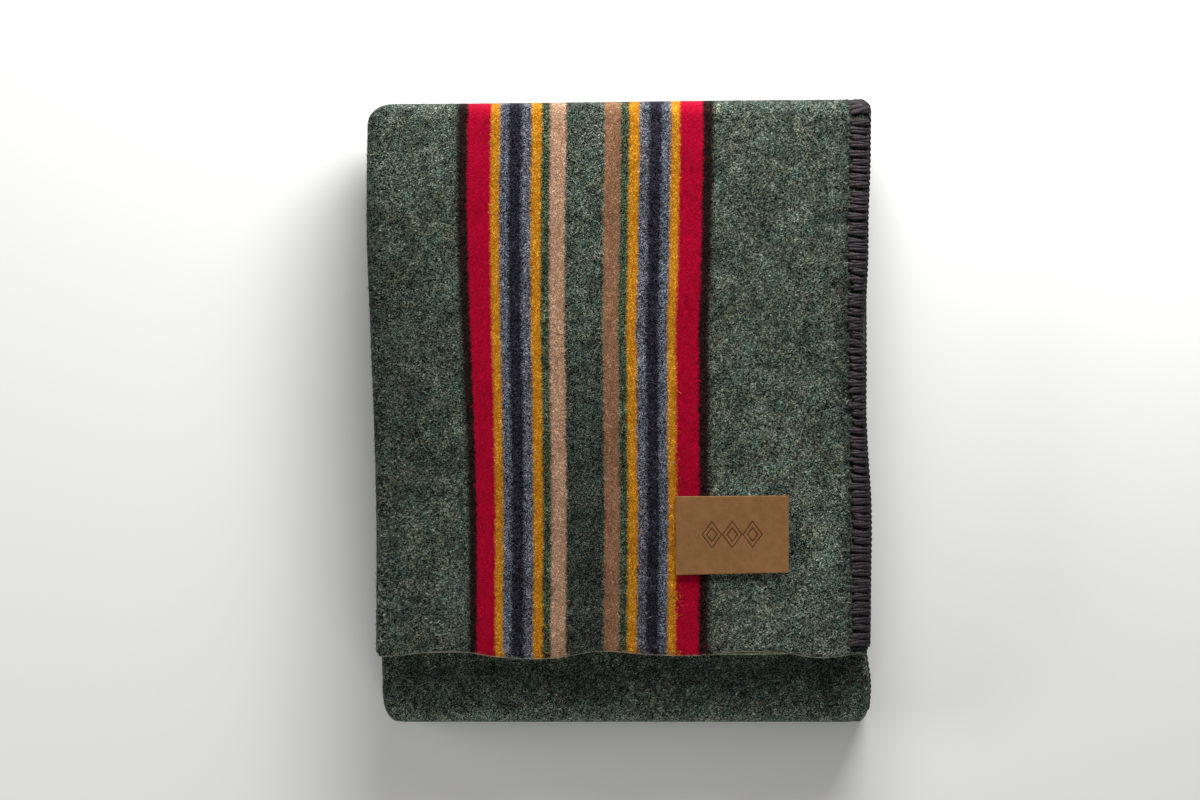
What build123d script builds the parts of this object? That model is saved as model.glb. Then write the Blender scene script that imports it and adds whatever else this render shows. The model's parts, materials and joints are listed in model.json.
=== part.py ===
"""Folded wool camp blanket, in millimetres, +Z up.

The cloth is folded in half twice along its length, which makes a bundle of four layers, and the
bundle is then folded twice across its width, which makes three panels lying on each other:
the under panel, the middle panel and the top panel. The front fold joins the under and middle
panels, and the rear fold joins the middle and top panels. The two cut ends of the cloth are
whipstitched with yarn, and both lie on the right. The selvedges face the front on the top
panel and the rear on the under panel.
X runs to the right, Y to the rear. The origin is under the middle of the stack.
"""

import os
from math import cos, pi, radians, sin

from build123d import *

# Cloth
CLOTH_LENGTH = 1676.0  # between the two whipstitched ends
CLOTH_WIDTH = 1430.0  # between the two selvedges
CLOTH_THICKNESS = 3.3
LAYER_PITCH = 4.3  # from the middle of one layer to the middle of the next

# Folded stack
FOLDED_DEPTH = 521.0  # from the front fold to the rear fold
FRONT_STRIP = 56.0  # how far the lower panels reach out in front of the top panel
RIGHT_FOLD_INSET = 1.0  # of the hidden right-hand fold, from the stitched edge
SEAM_GAP = 0.25  # between a fold and the panel that it turns against

# Whipstitched ends
STITCH_BITE = 16.0  # from the edge to the inner end of each stitch
YARN_THICKNESS = 1.2
YARN_END = 1.5  # beyond the cut edge of the cloth
END_THICKNESS = 1.6  # of the cloth, pressed by the stitches
STITCH_INSET = 6.0  # from a selvedge to the first stitch
YARN_CORNER = 1.4

# Label
LABEL_SIZE = (94.5, 65.0)
LABEL_THICKNESS = 1.6
LABEL_CENTRE = (95.0, -104.2)
LABEL_TURN = 0.4  # degrees

# What follows from the sizes above
LAYERS = 4
GAP = LAYER_PITCH - CLOTH_THICKNESS
HALF = CLOTH_THICKNESS / 2
THIN = END_THICKNESS / 2
BUNDLE_PITCH = LAYERS * LAYER_PITCH
BUNDLE_HEIGHT = BUNDLE_PITCH - GAP
WIDE_RADIUS = 1.5 * LAYER_PITCH  # fold of the outer pair of layers
TIGHT_RADIUS = 0.5 * LAYER_PITCH  # fold of two layers that touch
LEFT_REACH = WIDE_RADIUS + HALF
RIGHT_REACH = TIGHT_RADIUS + HALF + RIGHT_FOLD_INSET
LENGTH_IN_FOLDS = pi * (WIDE_RADIUS + 2 * TIGHT_RADIUS)
LOST_AT_SIDES = 2 * (YARN_END + LEFT_REACH) + 2 * (LEFT_REACH + RIGHT_REACH)
FOLDED_WIDTH = (CLOTH_LENGTH - LENGTH_IN_FOLDS + LOST_AT_SIDES) / LAYERS

X_LEFT = -FOLDED_WIDTH / 2 + LEFT_REACH
X_RIGHT = FOLDED_WIDTH / 2 - RIGHT_REACH
X_YARN = FOLDED_WIDTH / 2
X_CUT = X_YARN - YARN_END
X_BITE = X_YARN - STITCH_BITE

FOLD_REACH = BUNDLE_PITCH - GAP / 2
YARN_REACH = BUNDLE_PITCH - LAYER_PITCH / 2 + THIN + YARN_THICKNESS
Y_FRONT_FOLD = -FOLDED_DEPTH / 2 + FOLD_REACH
Y_REAR_FOLD = FOLDED_DEPTH / 2 - YARN_REACH
Y_TOP_SELVEDGE = -FOLDED_DEPTH / 2 + FRONT_STRIP
WIDTH_IN_FOLD = pi * BUNDLE_PITCH / 2
TOP_RUN = Y_REAR_FOLD - Y_TOP_SELVEDGE
MIDDLE_RUN = Y_REAR_FOLD - Y_FRONT_FOLD
UNDER_RUN = CLOTH_WIDTH - TOP_RUN - MIDDLE_RUN - 2 * WIDTH_IN_FOLD
Y_UNDER_SELVEDGE = Y_FRONT_FOLD + UNDER_RUN
Z_FRONT_FOLD = BUNDLE_PITCH - GAP / 2
Z_REAR_FOLD = 2 * BUNDLE_PITCH - GAP / 2


def layer_height(layer):
    """Height of a layer's middle above its panel's lowest surface, counted from below."""
    return layer * LAYER_PITCH + HALF


def outline_to_face(start, steps, y, base, flipped):
    """A face across Y from (x, height) points; a step of two points is an arc."""

    def at(point):
        height = BUNDLE_HEIGHT - point[1] if flipped else point[1]
        return (point[0], y, base + height)

    edges = []
    here = start
    for step in steps:
        if len(step) == 1:
            edges.append(Edge.make_line(at(here), at(step[0])))
        else:
            edges.append(Edge.make_three_point_arc(at(here), at(step[0]), at(step[1])))
        here = step[-1]
    return Face(Wire(edges))


def cloth_face(y, base, flipped):
    """Section of one panel's four layers of cloth, which is one ribbon with three side folds."""
    low, second, third, high = [layer_height(n) for n in range(LAYERS)]
    left_middle = (low + high) / 2
    right_middle = (low + second) / 2
    steps = [
        [(X_BITE, high + THIN)],
        [(X_BITE, high + HALF)],
        [(X_LEFT, high + HALF)],
        [(X_LEFT - WIDE_RADIUS - HALF, left_middle), (X_LEFT, low - HALF)],
        [(X_RIGHT, low - HALF)],
        [(X_RIGHT + TIGHT_RADIUS + HALF, right_middle), (X_RIGHT, second + HALF)],
        [(X_LEFT, second + HALF)],
        [(X_LEFT - TIGHT_RADIUS + HALF, left_middle), (X_LEFT, third - HALF)],
        [(X_BITE, third - HALF)],
        [(X_BITE, third - THIN)],
        [(X_CUT, third - THIN)],
        [(X_CUT, third + THIN)],
        [(X_BITE, third + THIN)],
        [(X_BITE, third + HALF)],
        [(X_LEFT, third + HALF)],
        [(X_LEFT - TIGHT_RADIUS - HALF, left_middle), (X_LEFT, second - HALF)],
        [(X_RIGHT, second - HALF)],
        [(X_RIGHT + TIGHT_RADIUS - HALF, right_middle), (X_RIGHT, low + HALF)],
        [(X_LEFT, low + HALF)],
        [(X_LEFT - WIDE_RADIUS + HALF, left_middle), (X_LEFT, high - HALF)],
        [(X_BITE, high - HALF)],
        [(X_BITE, high - THIN)],
        [(X_CUT, high - THIN)],
        [(X_CUT, high + THIN)],
    ]
    return outline_to_face((X_CUT, high + THIN), steps, y, base, flipped)


def yarn_face(layer):
    """Section of the stitches round one layer's cut end, as a function like cloth_face."""
    middle = layer_height(layer)
    top = middle + THIN + YARN_THICKNESS
    bottom = middle - THIN - YARN_THICKNESS
    x_in = X_YARN - YARN_CORNER
    x_bend = x_in + YARN_CORNER * cos(radians(45))
    rise = YARN_CORNER * (1 - sin(radians(45)))
    steps = [
        [(X_BITE, top)],
        [(x_in, top)],
        [(x_bend, top - rise), (X_YARN, top - YARN_CORNER)],
        [(X_YARN, bottom + YARN_CORNER)],
        [(x_bend, bottom + rise), (x_in, bottom)],
        [(X_BITE, bottom)],
        [(X_BITE, middle - THIN)],
        [(X_CUT, middle - THIN)],
        [(X_CUT, middle + THIN)],
        [(X_BITE, middle + THIN)],
    ]

    def face(y, base, flipped):
        return outline_to_face((X_BITE, middle + THIN), steps, y, base, flipped)

    return face


def panel(face, y_front, y_rear, number, flipped):
    """One flat panel: the section carried from front to rear."""
    section = face(y_front, number * BUNDLE_PITCH, flipped)
    return extrude(section, amount=y_rear - y_front, dir=(0, 1, 0))


def width_fold(face, y, z, number, flipped, turn):
    """One fold across the width: the upper panel's section turned half round to the lower one."""
    section = face(y, number * BUNDLE_PITCH, flipped)
    return revolve(section, axis=Axis((0, y, z), (turn, 0, 0)), revolution_arc=180)


def label_patch():
    """Flat leather patch on the top panel."""
    z = 3 * BUNDLE_PITCH - GAP
    patch = extrude(RectangleRounded(*LABEL_SIZE, 1.0), LABEL_THICKNESS)
    patch = chamfer(patch.faces().sort_by(Axis.Z)[-1].edges(), 0.3)
    return Pos(LABEL_CENTRE[0], LABEL_CENTRE[1], z) * Rot(0, 0, LABEL_TURN) * patch


parts = {"label_patch": label_patch()}
SECTIONS = (
    ("cloth", cloth_face, 0.0),
    ("whipstitch_first", yarn_face(3), STITCH_INSET),
    ("whipstitch_second", yarn_face(2), STITCH_INSET),
)
for name, face, inset in SECTIONS:
    parts[name + "_under_panel"] = panel(
        face, Y_FRONT_FOLD + SEAM_GAP, Y_UNDER_SELVEDGE - inset, 0, False
    )
    parts[name + "_middle_panel"] = panel(
        face, Y_FRONT_FOLD, Y_REAR_FOLD - SEAM_GAP, 1, True
    )
    parts[name + "_top_panel"] = panel(face, Y_TOP_SELVEDGE + inset, Y_REAR_FOLD, 2, False)
    parts[name + "_front_fold"] = width_fold(face, Y_FRONT_FOLD, Z_FRONT_FOLD, 1, True, 1)
    parts[name + "_rear_fold"] = width_fold(face, Y_REAR_FOLD, Z_REAR_FOLD, 2, False, -1)

os.makedirs("parts", exist_ok=True)
for name, solid in parts.items():
    export_step(solid, f"parts/{name}.step")

print("folded width", round(FOLDED_WIDTH, 2), "under panel", round(UNDER_RUN, 1))
print("front fold y, z", round(Y_FRONT_FOLD, 3), round(Z_FRONT_FOLD, 3))
print("rear fold y, z", round(Y_REAR_FOLD, 3), round(Z_REAR_FOLD, 3))
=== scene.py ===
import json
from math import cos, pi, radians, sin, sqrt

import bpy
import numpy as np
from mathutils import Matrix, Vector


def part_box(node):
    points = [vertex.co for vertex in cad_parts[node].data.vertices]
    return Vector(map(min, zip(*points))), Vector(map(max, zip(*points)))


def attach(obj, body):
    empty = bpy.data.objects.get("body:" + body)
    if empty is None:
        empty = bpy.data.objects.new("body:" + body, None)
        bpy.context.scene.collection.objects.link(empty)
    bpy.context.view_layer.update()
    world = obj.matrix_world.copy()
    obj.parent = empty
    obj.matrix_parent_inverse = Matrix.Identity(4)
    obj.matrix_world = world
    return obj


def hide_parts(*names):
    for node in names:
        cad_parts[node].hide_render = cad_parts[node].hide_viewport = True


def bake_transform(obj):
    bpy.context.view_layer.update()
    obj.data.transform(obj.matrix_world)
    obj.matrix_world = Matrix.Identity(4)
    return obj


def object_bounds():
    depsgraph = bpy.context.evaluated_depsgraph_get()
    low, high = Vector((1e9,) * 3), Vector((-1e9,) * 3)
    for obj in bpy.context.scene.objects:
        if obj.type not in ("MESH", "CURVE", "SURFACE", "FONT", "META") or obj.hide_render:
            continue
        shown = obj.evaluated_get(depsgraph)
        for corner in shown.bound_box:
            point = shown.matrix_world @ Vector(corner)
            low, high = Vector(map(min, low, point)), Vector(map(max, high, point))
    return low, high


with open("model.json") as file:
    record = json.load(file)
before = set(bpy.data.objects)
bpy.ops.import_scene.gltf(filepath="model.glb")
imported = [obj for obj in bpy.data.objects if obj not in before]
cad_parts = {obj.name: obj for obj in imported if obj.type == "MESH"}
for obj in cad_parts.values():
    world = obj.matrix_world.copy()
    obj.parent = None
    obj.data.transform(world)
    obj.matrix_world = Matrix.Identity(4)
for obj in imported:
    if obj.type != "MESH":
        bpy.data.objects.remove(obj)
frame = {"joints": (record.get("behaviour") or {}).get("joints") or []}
cad_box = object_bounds()

# Looks of the folded camp blanket: felted wool cloth, whipstitching yarn and a leather patch.
#
# Lengths in this script are millimetres in the part's frame, and MM turns them into Blender's metres.
# A point of the cloth is named by u, its distance from the first stitched end, by v, its distance from
# the selvedge of its panel, and by its lift off the middle of the cloth.

MM = 0.001

# ---------------------------------------------------------------- sizes, as the CAD part has them
WIDTH = 1430.0
THICKNESS = 3.3
PITCH = 4.3
STITCH_BITE = 16.0
YARN_END = 1.5
STITCH_INSET = 6.0
RIGHT_FOLD_INSET = 1.0
LABEL_TURN = radians(0.4)

HALF = THICKNESS / 2
GAP = PITCH - THICKNESS
BUNDLE = 4 * PITCH
HEIGHT = BUNDLE - GAP
WIDE = 1.5 * PITCH
TIGHT = 0.5 * PITCH

joints = {joint["name"]: [p / MM for p in joint["pos_m"]] for joint in frame["joints"]}
Y_FRONT, Z_FRONT = joints["lower_fold"][1:]
Y_REAR, Z_REAR = joints["upper_fold"][1:]
cloth_low, cloth_high = (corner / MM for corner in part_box("cloth_top_panel"))
label_low, label_high = (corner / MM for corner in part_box("label_patch"))
X_MIN, X_CUT = cloth_low.x, cloth_high.x
X_MAX = X_CUT + YARN_END
Y_SELVEDGE = cloth_low.y
Y_UNDER_END = (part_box("cloth_under_panel")[1] / MM).y
X_LEFT = X_MIN + WIDE + HALF
X_RIGHT = X_MAX - RIGHT_FOLD_INSET - TIGHT - HALF

TOP_RUN = Y_REAR - Y_SELVEDGE
MIDDLE_RUN = Y_REAR - Y_FRONT
UNDER_RUN = Y_UNDER_END - Y_FRONT
FOLD_RUN = pi * BUNDLE / 2
RUN_STITCHED = X_CUT - X_LEFT
RUN_PLAIN = X_RIGHT - X_LEFT
STRETCHES = np.cumsum([RUN_STITCHED, pi * WIDE, RUN_PLAIN, pi * TIGHT, RUN_PLAIN, pi * TIGHT])
CLOTH_END = STRETCHES[-1] + RUN_STITCHED

# ---------------------------------------------------------------- irregularities of the fold
# How far the left side of the top panel stands in from square, by its place from front to rear.
TOP_LEFT = (
    (-215, 8.0), (-90, 8.3), (-40, 7.3), (20, 5.2), (75, 3.0), (120, 1.0), (165, 0.2), (243, 1.0),
)
TOP_RIGHT = (
    (-215, -1.4), (-150, -0.6), (-70, -0.6), (-35, -3.0), (0, -4.6), (40, -5.4), (66, -7.0),
    (95, -4.6), (120, -3.2), (165, -2.6), (200, -1.2), (243, -0.6),
)
MIDDLE_LEFT = ((-261, 12.8), (-204, 12.8), (-100, 9.0), (60, 4.0), (243, 1.0))
MIDDLE_RIGHT = ((-261, -2.0), (-228, 0.2), (-204, -3.0), (-60, -5.0), (120, -3.0), (243, -0.6))
UNDER_LEFT = ((-261, 14.0), (-120, 8.0), (60, 6.5), (200, 5.0))
UNDER_RIGHT = ((-261, -3.0), (-100, -4.5), (60, -3.0), (200, -6.0))
# How far the selvedges of the top panel's layers stand back from square, lowest layer first.
SELVEDGES = (
    ((-195, 0.5), (0, 3.0), (205, 4.0)),
    ((-195, 1.0), (0, 4.0), (205, 3.0)),
    ((-195, 3.0), (-100, 2.0), (0, 2.5), (70, 0.4), (106, -0.3), (140, 0.4), (180, 2.0), (205, 3.0)),
    (
        (-205, -1.8), (-137, 2.4), (-108, -1.8), (-55, -2.7), (-24, 2.4), (26, -0.2), (60, -1.0),
        (106, 2.8), (140, 1.0), (170, -2.7), (202, 0.7),
    ),
)
# Long ridges and hollows of the top panel, which run from front to rear and die out at the rear.
RIDGES = (
    (-211, 0.0), (-185, 1.7), (-168, 2.0), (-150, 1.1), (-132, -0.6), (-115, -1.2), (-80, -0.2),
    (-52, 1.3), (-38, 1.4), (-20, -0.3), (-5, -1.6), (20, -1.0), (60, 0.4), (85, 0.5), (105, -0.6),
    (125, -1.3), (140, -0.8), (155, 0.8), (168, 1.6), (178, 1.4), (211, -1.0),
)
RIDGES_ALONG = ((-215, 0.8), (-150, 1.0), (-20, 1.0), (60, 0.8), (130, 0.4), (200, 0.1), (243, 0.0))
# The top panel is a low dome: how high, how far from the rear fold it has risen by two thirds, and
# how far from it the dome would be down to nothing again. Its selvedge has a small lip.
DOME_HEIGHT, DOME_REACH, DOME_LENGTH = 5.6, 36.0, 1400.0
LIP_HEIGHT, LIP_REACH = 1.0, 9.0
# The stitched rim of the top panel rolls down like a quarter ellipse of this width and height.
RIM_ROLL, RIM_DROP = 9.0, 3.4
# How far in from the rim the yarn of the top panel shows, by place from front to rear.
TOP_BITES = (
    (-205, 12.0), (-150, 13.4), (-92, 14.6), (-29, 12.0), (38, 10.4), (79, 10.4), (121, 12.6),
    (170, 14.2), (243, 14.6),
)
# How much the front strip is puffed up, and how many times a half circle's depth its fold goes out.
FRONT_PUFF, FRONT_BULGE = 2.2, 1.1
# How much nearer to the rear fold's axis its left end comes, as a share of the radius.
REAR_TAPER = 0.22
# Over what length from a selvedge its unevenness falls to a third.
SELVEDGE_REACH = 45.0
# Plan radius of each corner: (left or right, front or rear, radius)
TOP_CORNERS = ((-1, 1, 24.0), (1, 1, 9.0))
LOWER_CORNERS = ((-1, 1, 24.0), (1, 1, 9.0), (-1, -1, 31.0), (1, -1, 12.0))
# The woven stripes drift off straight towards the front: by place across, and by place front to rear.
DRIFT_ACROSS = (
    (-211, 0.0), (-165, 3.5), (-135, 7.2), (-107, -0.9), (-73, -2.9), (-13, -4.0), (36, -5.2),
    (82, -5.2), (150, 0.0), (211, 0.0),
)
DRIFT_ALONG = ((-215, 1.0), (-125, 0.94), (-63, 0.81), (8, 0.44), (92, 0.19), (175, 0.0), (260, 0.0))

# ---------------------------------------------------------------- woven stripes
STRIPE_CENTRE = 237.6  # from either stitched end
STRIPE_SPAN = 130.0
# For each stripe from the middle of the band: where it ends, how softly, its darker and lighter
# fibres, and how many stray fibres of other shades it has.
STRIPES = (
    (16.3, 2.0, (5, 8, 7), (160, 172, 158), 1.0),
    (29.5, 2.4, (136, 99, 75), (248, 210, 180), 0.2),
    (36.8, 2.0, (12, 18, 11), (134, 154, 124), 1.0),
    (45.2, 2.2, (148, 84, 0), (255, 196, 62), 0.15),
    (53.3, 3.2, (20, 20, 28), (182, 184, 200), 0.5),
    (64.4, 3.2, (1, 0, 2), (78, 74, 92), 0.5),
    (71.8, 2.2, (20, 21, 30), (178, 186, 206), 0.5),
    (79.2, 2.0, (148, 84, 0), (255, 196, 62), 0.15),
    (98.6, 1.8, (134, 0, 27), (204, 0, 60), 0.02),
    (108.0, 5.0, (3, 1, 1), (68, 42, 38), 0.4),
    (STRIPE_SPAN, 0.0, (5, 8, 7), (160, 172, 158), 1.0),
)


# ================================================================ shape of the folded cloth
def smooth(t):
    """0 to 1 as t goes from 0 to 1, with level ends."""
    t = np.clip(t, 0.0, 1.0)
    return t * t * (3 - 2 * t)


def through(points, at):
    """A smooth curve through given (place, value) points, level beyond its ends."""
    place = np.array([p[0] for p in points], float)
    value = np.array([p[1] for p in points], float)
    slope = np.gradient(value, place)
    at = np.clip(at, place[0], place[-1])
    left = np.clip(np.searchsorted(place, at, side="right") - 1, 0, len(place) - 2)
    width = place[left + 1] - place[left]
    t = (at - place[left]) / width
    rise_part = (2 * t**3 - 3 * t**2 + 1) * value[left] + (3 * t**2 - 2 * t**3) * value[left + 1]
    slope_part = (t**3 - 2 * t**2 + t) * slope[left] + (t**3 - t**2) * slope[left + 1]
    return rise_part + slope_part * width


def ripples(x, y, size, seed, count=10):
    """A smooth uneven surface, mostly between -1 and 1, with waves about size long."""
    rng = np.random.default_rng(seed)
    total = np.zeros(np.broadcast(x, y).shape)
    for _ in range(count):
        turn = rng.uniform(0, 2 * pi)
        wave = size * rng.uniform(0.7, 1.7)
        total += np.sin(2 * pi * (x * cos(turn) + y * sin(turn)) / wave + rng.uniform(0, 2 * pi))
    return total / sqrt(2 * count)


def section(u, lift):
    """x and height in the bundle of four layers, for a panel with the stitched ends on top."""
    high, third, second, low = (HEIGHT - HALF - n * PITCH for n in range(4))
    centre, right_centre = (high + low) / 2, (second + low) / 2
    e = STRETCHES
    turn_a = (u - e[0]) / WIDE
    turn_b = (u - e[2]) / TIGHT
    turn_c = (u - e[4]) / TIGHT
    where = [u < e[0], u < e[1], u < e[2], u < e[3], u < e[4], u < e[5]]
    x = np.select(
        where,
        [
            X_CUT - u,
            X_LEFT - (WIDE + lift) * np.sin(turn_a),
            X_LEFT + u - e[1],
            X_RIGHT + (TIGHT + lift) * np.sin(turn_b),
            X_RIGHT - (u - e[3]),
            X_LEFT - (TIGHT - lift) * np.sin(turn_c),
        ],
        X_LEFT + u - e[5],
    )
    h = np.select(
        where,
        [
            high + lift,
            centre + (WIDE + lift) * np.cos(turn_a),
            low - lift,
            right_centre - (TIGHT + lift) * np.cos(turn_b),
            second + lift,
            centre - (TIGHT - lift) * np.cos(turn_c),
        ],
        third - lift,
    )
    return x, h


def round_corners(x, y, corners):
    """Moves plan points near the stack's corners in, so that each corner is round."""
    y_end = {1: cad_box[1].y / MM, -1: cad_box[0].y / MM - (FRONT_BULGE - 1) * BUNDLE}
    x_end = {1: X_MAX, -1: X_MIN}
    for side, end, radius in corners:
        across = side * (x - (x_end[side] - side * radius)) / radius
        along = end * (y - (y_end[end] - end * radius)) / radius
        inside = (across > 0) & (along > 0)
        a, b = np.clip(across, 0, 1.1), np.clip(along, 0, 1.1)
        x = np.where(inside, x + side * radius * (a * np.sqrt(1 - b * b / 2) - a), x)
        y = np.where(inside, y + end * radius * (b * np.sqrt(1 - a * a / 2) - b), y)
    return x, y


def sides(x, y, left, right):
    """Brings the two sides of a panel in to their given lines."""
    across = np.clip((x - X_MIN) / (X_MAX - X_MIN), 0, 1)
    return x + through(left, y) * (1 - across) ** 1.5 + through(right, y) * across**1.5


def crown(x, y, h):
    """How far the top panel stands above its flat place: dome, waves, ridges, lip and rolled rim."""
    share = np.clip(h / HEIGHT, 0, 1.2)
    inland = np.clip(Y_REAR - y, 0, None)
    off_rear = smooth(inland / 40)
    off_side = smooth(0.3 + np.minimum(x - X_MIN, X_MAX - x) / 60)
    dome = DOME_HEIGHT * (1 - np.exp(-inland / DOME_REACH)) * (1 - inland / DOME_LENGTH)
    dome = dome * off_side * share**1.2
    waves = 0.5 * ripples(x, y, size=130, seed=5) * share
    waves = waves + 0.5 * ripples(x, y, size=85, seed=6) * np.sin(pi * share)
    lumps = 0.16 * ripples(x, y, size=34, seed=8) + 0.07 * ripples(x, y, size=15, seed=9)
    ridges = through(RIDGES, x) * through(RIDGES_ALONG, y) * share**2
    lip = LIP_HEIGHT * np.exp(-np.clip(y - Y_SELVEDGE, 0, None) / LIP_REACH) * share**3
    near_rim = np.clip(1 - (X_MAX + through(TOP_RIGHT, y) - x) / RIM_ROLL, 0, 0.98)
    roll = RIM_DROP * (1 - np.sqrt(1 - near_rim**2)) * smooth(inland / 15) * share**1.5
    return dome + off_rear * (waves + lumps * share**2) + ridges + lip - roll


def lower_waves(x, y, share, seed):
    """How far the middle or under panel stands off its flat place, none at the folds."""
    off_folds = smooth((Y_REAR - y) / 40) * smooth((y - Y_FRONT) / 25)
    upper = 0.55 * ripples(x, y, size=95, seed=seed) * share
    inner = 0.45 * ripples(x, y, size=70, seed=seed + 1) * np.sin(pi * share)
    return off_folds * (upper + inner)


def fold_radius(name, h):
    """Radius at which a point h up in its bundle goes round the fold that follows the panel."""
    return h + GAP / 2 if name == "top" else BUNDLE - GAP / 2 - h


def place_top(u, v, lift):
    """Top panel, v from its selvedge, and on round the rear fold to the middle panel."""
    x, h = section(u, lift)
    turn = pi * np.clip(v - TOP_RUN, 0, None) / FOLD_RUN
    radius = fold_radius("top", h)
    back = np.array([through(line, x) for line in SELVEDGES])
    layer = np.clip((h - HALF) / PITCH, 0, 3)
    below = np.clip(np.floor(layer).astype(int), 0, 2)
    part = layer - below
    step = np.take_along_axis(back, below[None], 0)[0] * (1 - part)
    step += np.take_along_axis(back, below[None] + 1, 0)[0] * part
    y_flat = Y_SELVEDGE + v + step * np.exp(-np.clip(v, 0, None) / SELVEDGE_REACH)
    leftness = smooth(0.5 - x / 420)
    y_fold = Y_REAR + radius * np.sin(turn) * (1 - REAR_TAPER * leftness)
    folded = v > TOP_RUN
    y = np.where(folded, y_fold, y_flat)
    z = np.where(folded, Z_REAR + radius * np.cos(turn), 2 * BUNDLE + h)
    x, y = round_corners(sides(x, y, TOP_LEFT, TOP_RIGHT), y, TOP_CORNERS)
    return np.stack([x, y, z + np.where(folded, 0.0, crown(x, y, h))], -1)


def place_middle(u, v, lift):
    """Middle panel, v from the rear fold, and on round the front fold to the under panel."""
    x, h = section(u, lift)
    turn = pi * np.clip(v - MIDDLE_RUN, 0, None) / FOLD_RUN
    radius = fold_radius("middle", h)
    folded = v > MIDDLE_RUN
    y = np.where(folded, Y_FRONT - FRONT_BULGE * radius * np.sin(turn), Y_REAR - v)
    z = np.where(folded, Z_FRONT + radius * np.cos(turn), BUNDLE + HEIGHT - h)
    x, y = round_corners(sides(x, y, MIDDLE_LEFT, MIDDLE_RIGHT), y, LOWER_CORNERS)
    share = 1 - h / HEIGHT
    waves = lower_waves(x, y, share, seed=21)
    strip = np.clip((y - Y_FRONT) / (Y_SELVEDGE - 4 - Y_FRONT), 0, 1)
    puff = FRONT_PUFF * np.sin(pi * strip) * (1 - strip)
    waves = waves + puff * np.clip(share, 0, 1.2) ** 1.5
    return np.stack([x, y, z + np.where(folded, 0.0, waves)], -1)


def place_under(u, v, lift):
    """Under panel, v from the front fold to its selvedge, flat on the ground."""
    x, h = section(u, lift)
    back = 2.0 * ripples(x, h * 9, size=260, seed=31) - 1.0
    y = Y_FRONT + v + back * np.exp((v - UNDER_RUN) / SELVEDGE_REACH)
    x, y = round_corners(sides(x, y, UNDER_LEFT, UNDER_RIGHT), y, LOWER_CORNERS)
    return np.stack([x, y, h + lower_waves(x, y, h / HEIGHT, seed=41)], -1)


# For each panel: where a point goes, its run and the fold after it, where it starts on the cloth, how
# far apart its mesh's points are along it, how many loose fibres it has, and its bodies and nodes.
PANELS = {
    "top": {
        "place": place_top, "run": TOP_RUN, "fold": FOLD_RUN, "start": 0.0, "step": 3.0,
        "bodies": ("middle_panel", "top_panel"), "nodes": ("top_panel", "rear_fold"),
        "fibres": 7000,
    },
    "middle": {
        "place": place_middle, "run": MIDDLE_RUN, "fold": FOLD_RUN, "start": TOP_RUN + FOLD_RUN,
        "bodies": ("under_panel", "middle_panel"), "nodes": ("middle_panel", "front_fold"),
        "step": 5.0, "fibres": 3000,
    },
    "under": {
        "place": place_under, "run": UNDER_RUN, "fold": 0.0,
        "start": TOP_RUN + MIDDLE_RUN + 2 * FOLD_RUN,
        "bodies": ("under_panel",), "nodes": ("under_panel",),
        "step": 6.0, "fibres": 0,
    },
}


# ================================================================ meshes
def mesh_object(name, points, faces, marks, material):
    """A smooth-shaded mesh from points in millimetres, with a vector attribute for each mark."""
    mesh = bpy.data.meshes.new(name)
    mesh.from_pydata((np.asarray(points) * MM).tolist(), [], faces)
    for mark, values in marks.items():
        attribute = mesh.attributes.new(mark, "FLOAT_VECTOR", "POINT")
        attribute.data.foreach_set("vector", np.asarray(values, np.float32).ravel())
    mesh.polygons.foreach_set("use_smooth", np.ones(len(mesh.polygons), bool))
    mesh.materials.append(material)
    mesh.validate()
    mesh.update()
    piece = bpy.data.objects.new(name, mesh)
    bpy.context.scene.collection.objects.link(piece)
    return piece


def grid_faces(index, flip=False):
    """Quads over a grid of points, given as the grid of their numbers."""
    corners = [index[:-1, :-1], index[1:, :-1], index[1:, 1:], index[:-1, 1:]]
    if flip:
        corners.reverse()
    return np.stack([c.ravel() for c in corners], 1)


def turn_evenly(piece, lower, upper, share):
    """Sets the piece's points for a moment to a line by each one's share of the fold's angle, bakes
    its transform, and puts the points back.
    """
    shape = np.zeros(len(piece.data.vertices) * 3, np.float32)
    piece.data.vertices.foreach_get("co", shape)
    line = np.zeros_like(shape)
    line[2::3] = 0.5 - np.sin(np.arcsin(1 - 2 * np.clip(share, 0, 1)) / 3)
    piece.data.vertices.foreach_set("co", line)
    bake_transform(piece)
    piece.data.vertices.foreach_set("co", shape)
    piece.data.update()


def fit_to_bodies(piece, panel, v):
    """Makes a piece follow its panel's body if the panel has no fold; otherwise hands it to
    turn_evenly.
    """
    if panel["fold"] == 0.0:
        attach(piece, panel["bodies"][0])
        return
    share = 1 - np.clip((np.ravel(v) - panel["run"]) / panel["fold"], 0, 1)
    turn_evenly(piece, *panel["bodies"], share)


def steps(start, end, size):
    """Evenly spaced values from start to end, about size apart."""
    return np.linspace(start, end, max(2, round((end - start) / size) + 1))


def joined(*runs):
    """Runs of values that share their ends, as one rising list."""
    return np.unique(np.round(np.concatenate(runs), 5))


ROUND_EDGE = np.array([0.0, 0.12, 0.45, 0.95, 1.65, 2.8])  # distances of points from a rounded edge
CUT_BACK = 1.2  # how far the cut edges lie inside the rim of the yarn
SQUEEZE = 0.95  # how much the stitches press each face of the cloth in
SQUEEZE_MARGIN = 4.0  # over how wide a margin they begin to
# Distances between the mesh's points: in the top layer, in view or not, in the lowest layer and in
# the two between, and round the wide fold, the tight folds and the fold across the width.
SEEN_STEP, UNSEEN_STEP, LOW_STEP, INNER_STEP = 3.0, 9.0, 11.0, 14.0
WIDE_FOLD_STEP, TIGHT_FOLD_STEP, CROSS_FOLD_STEP = 1.45, 0.8, 1.6
SEAM_ROUND = 0.3 * HALF  # rounding of the ends of two panels' meshes where one follows the other
SEAM_LAP = 0.5  # how far a panel's mesh starts inside the end of the one before it


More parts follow.
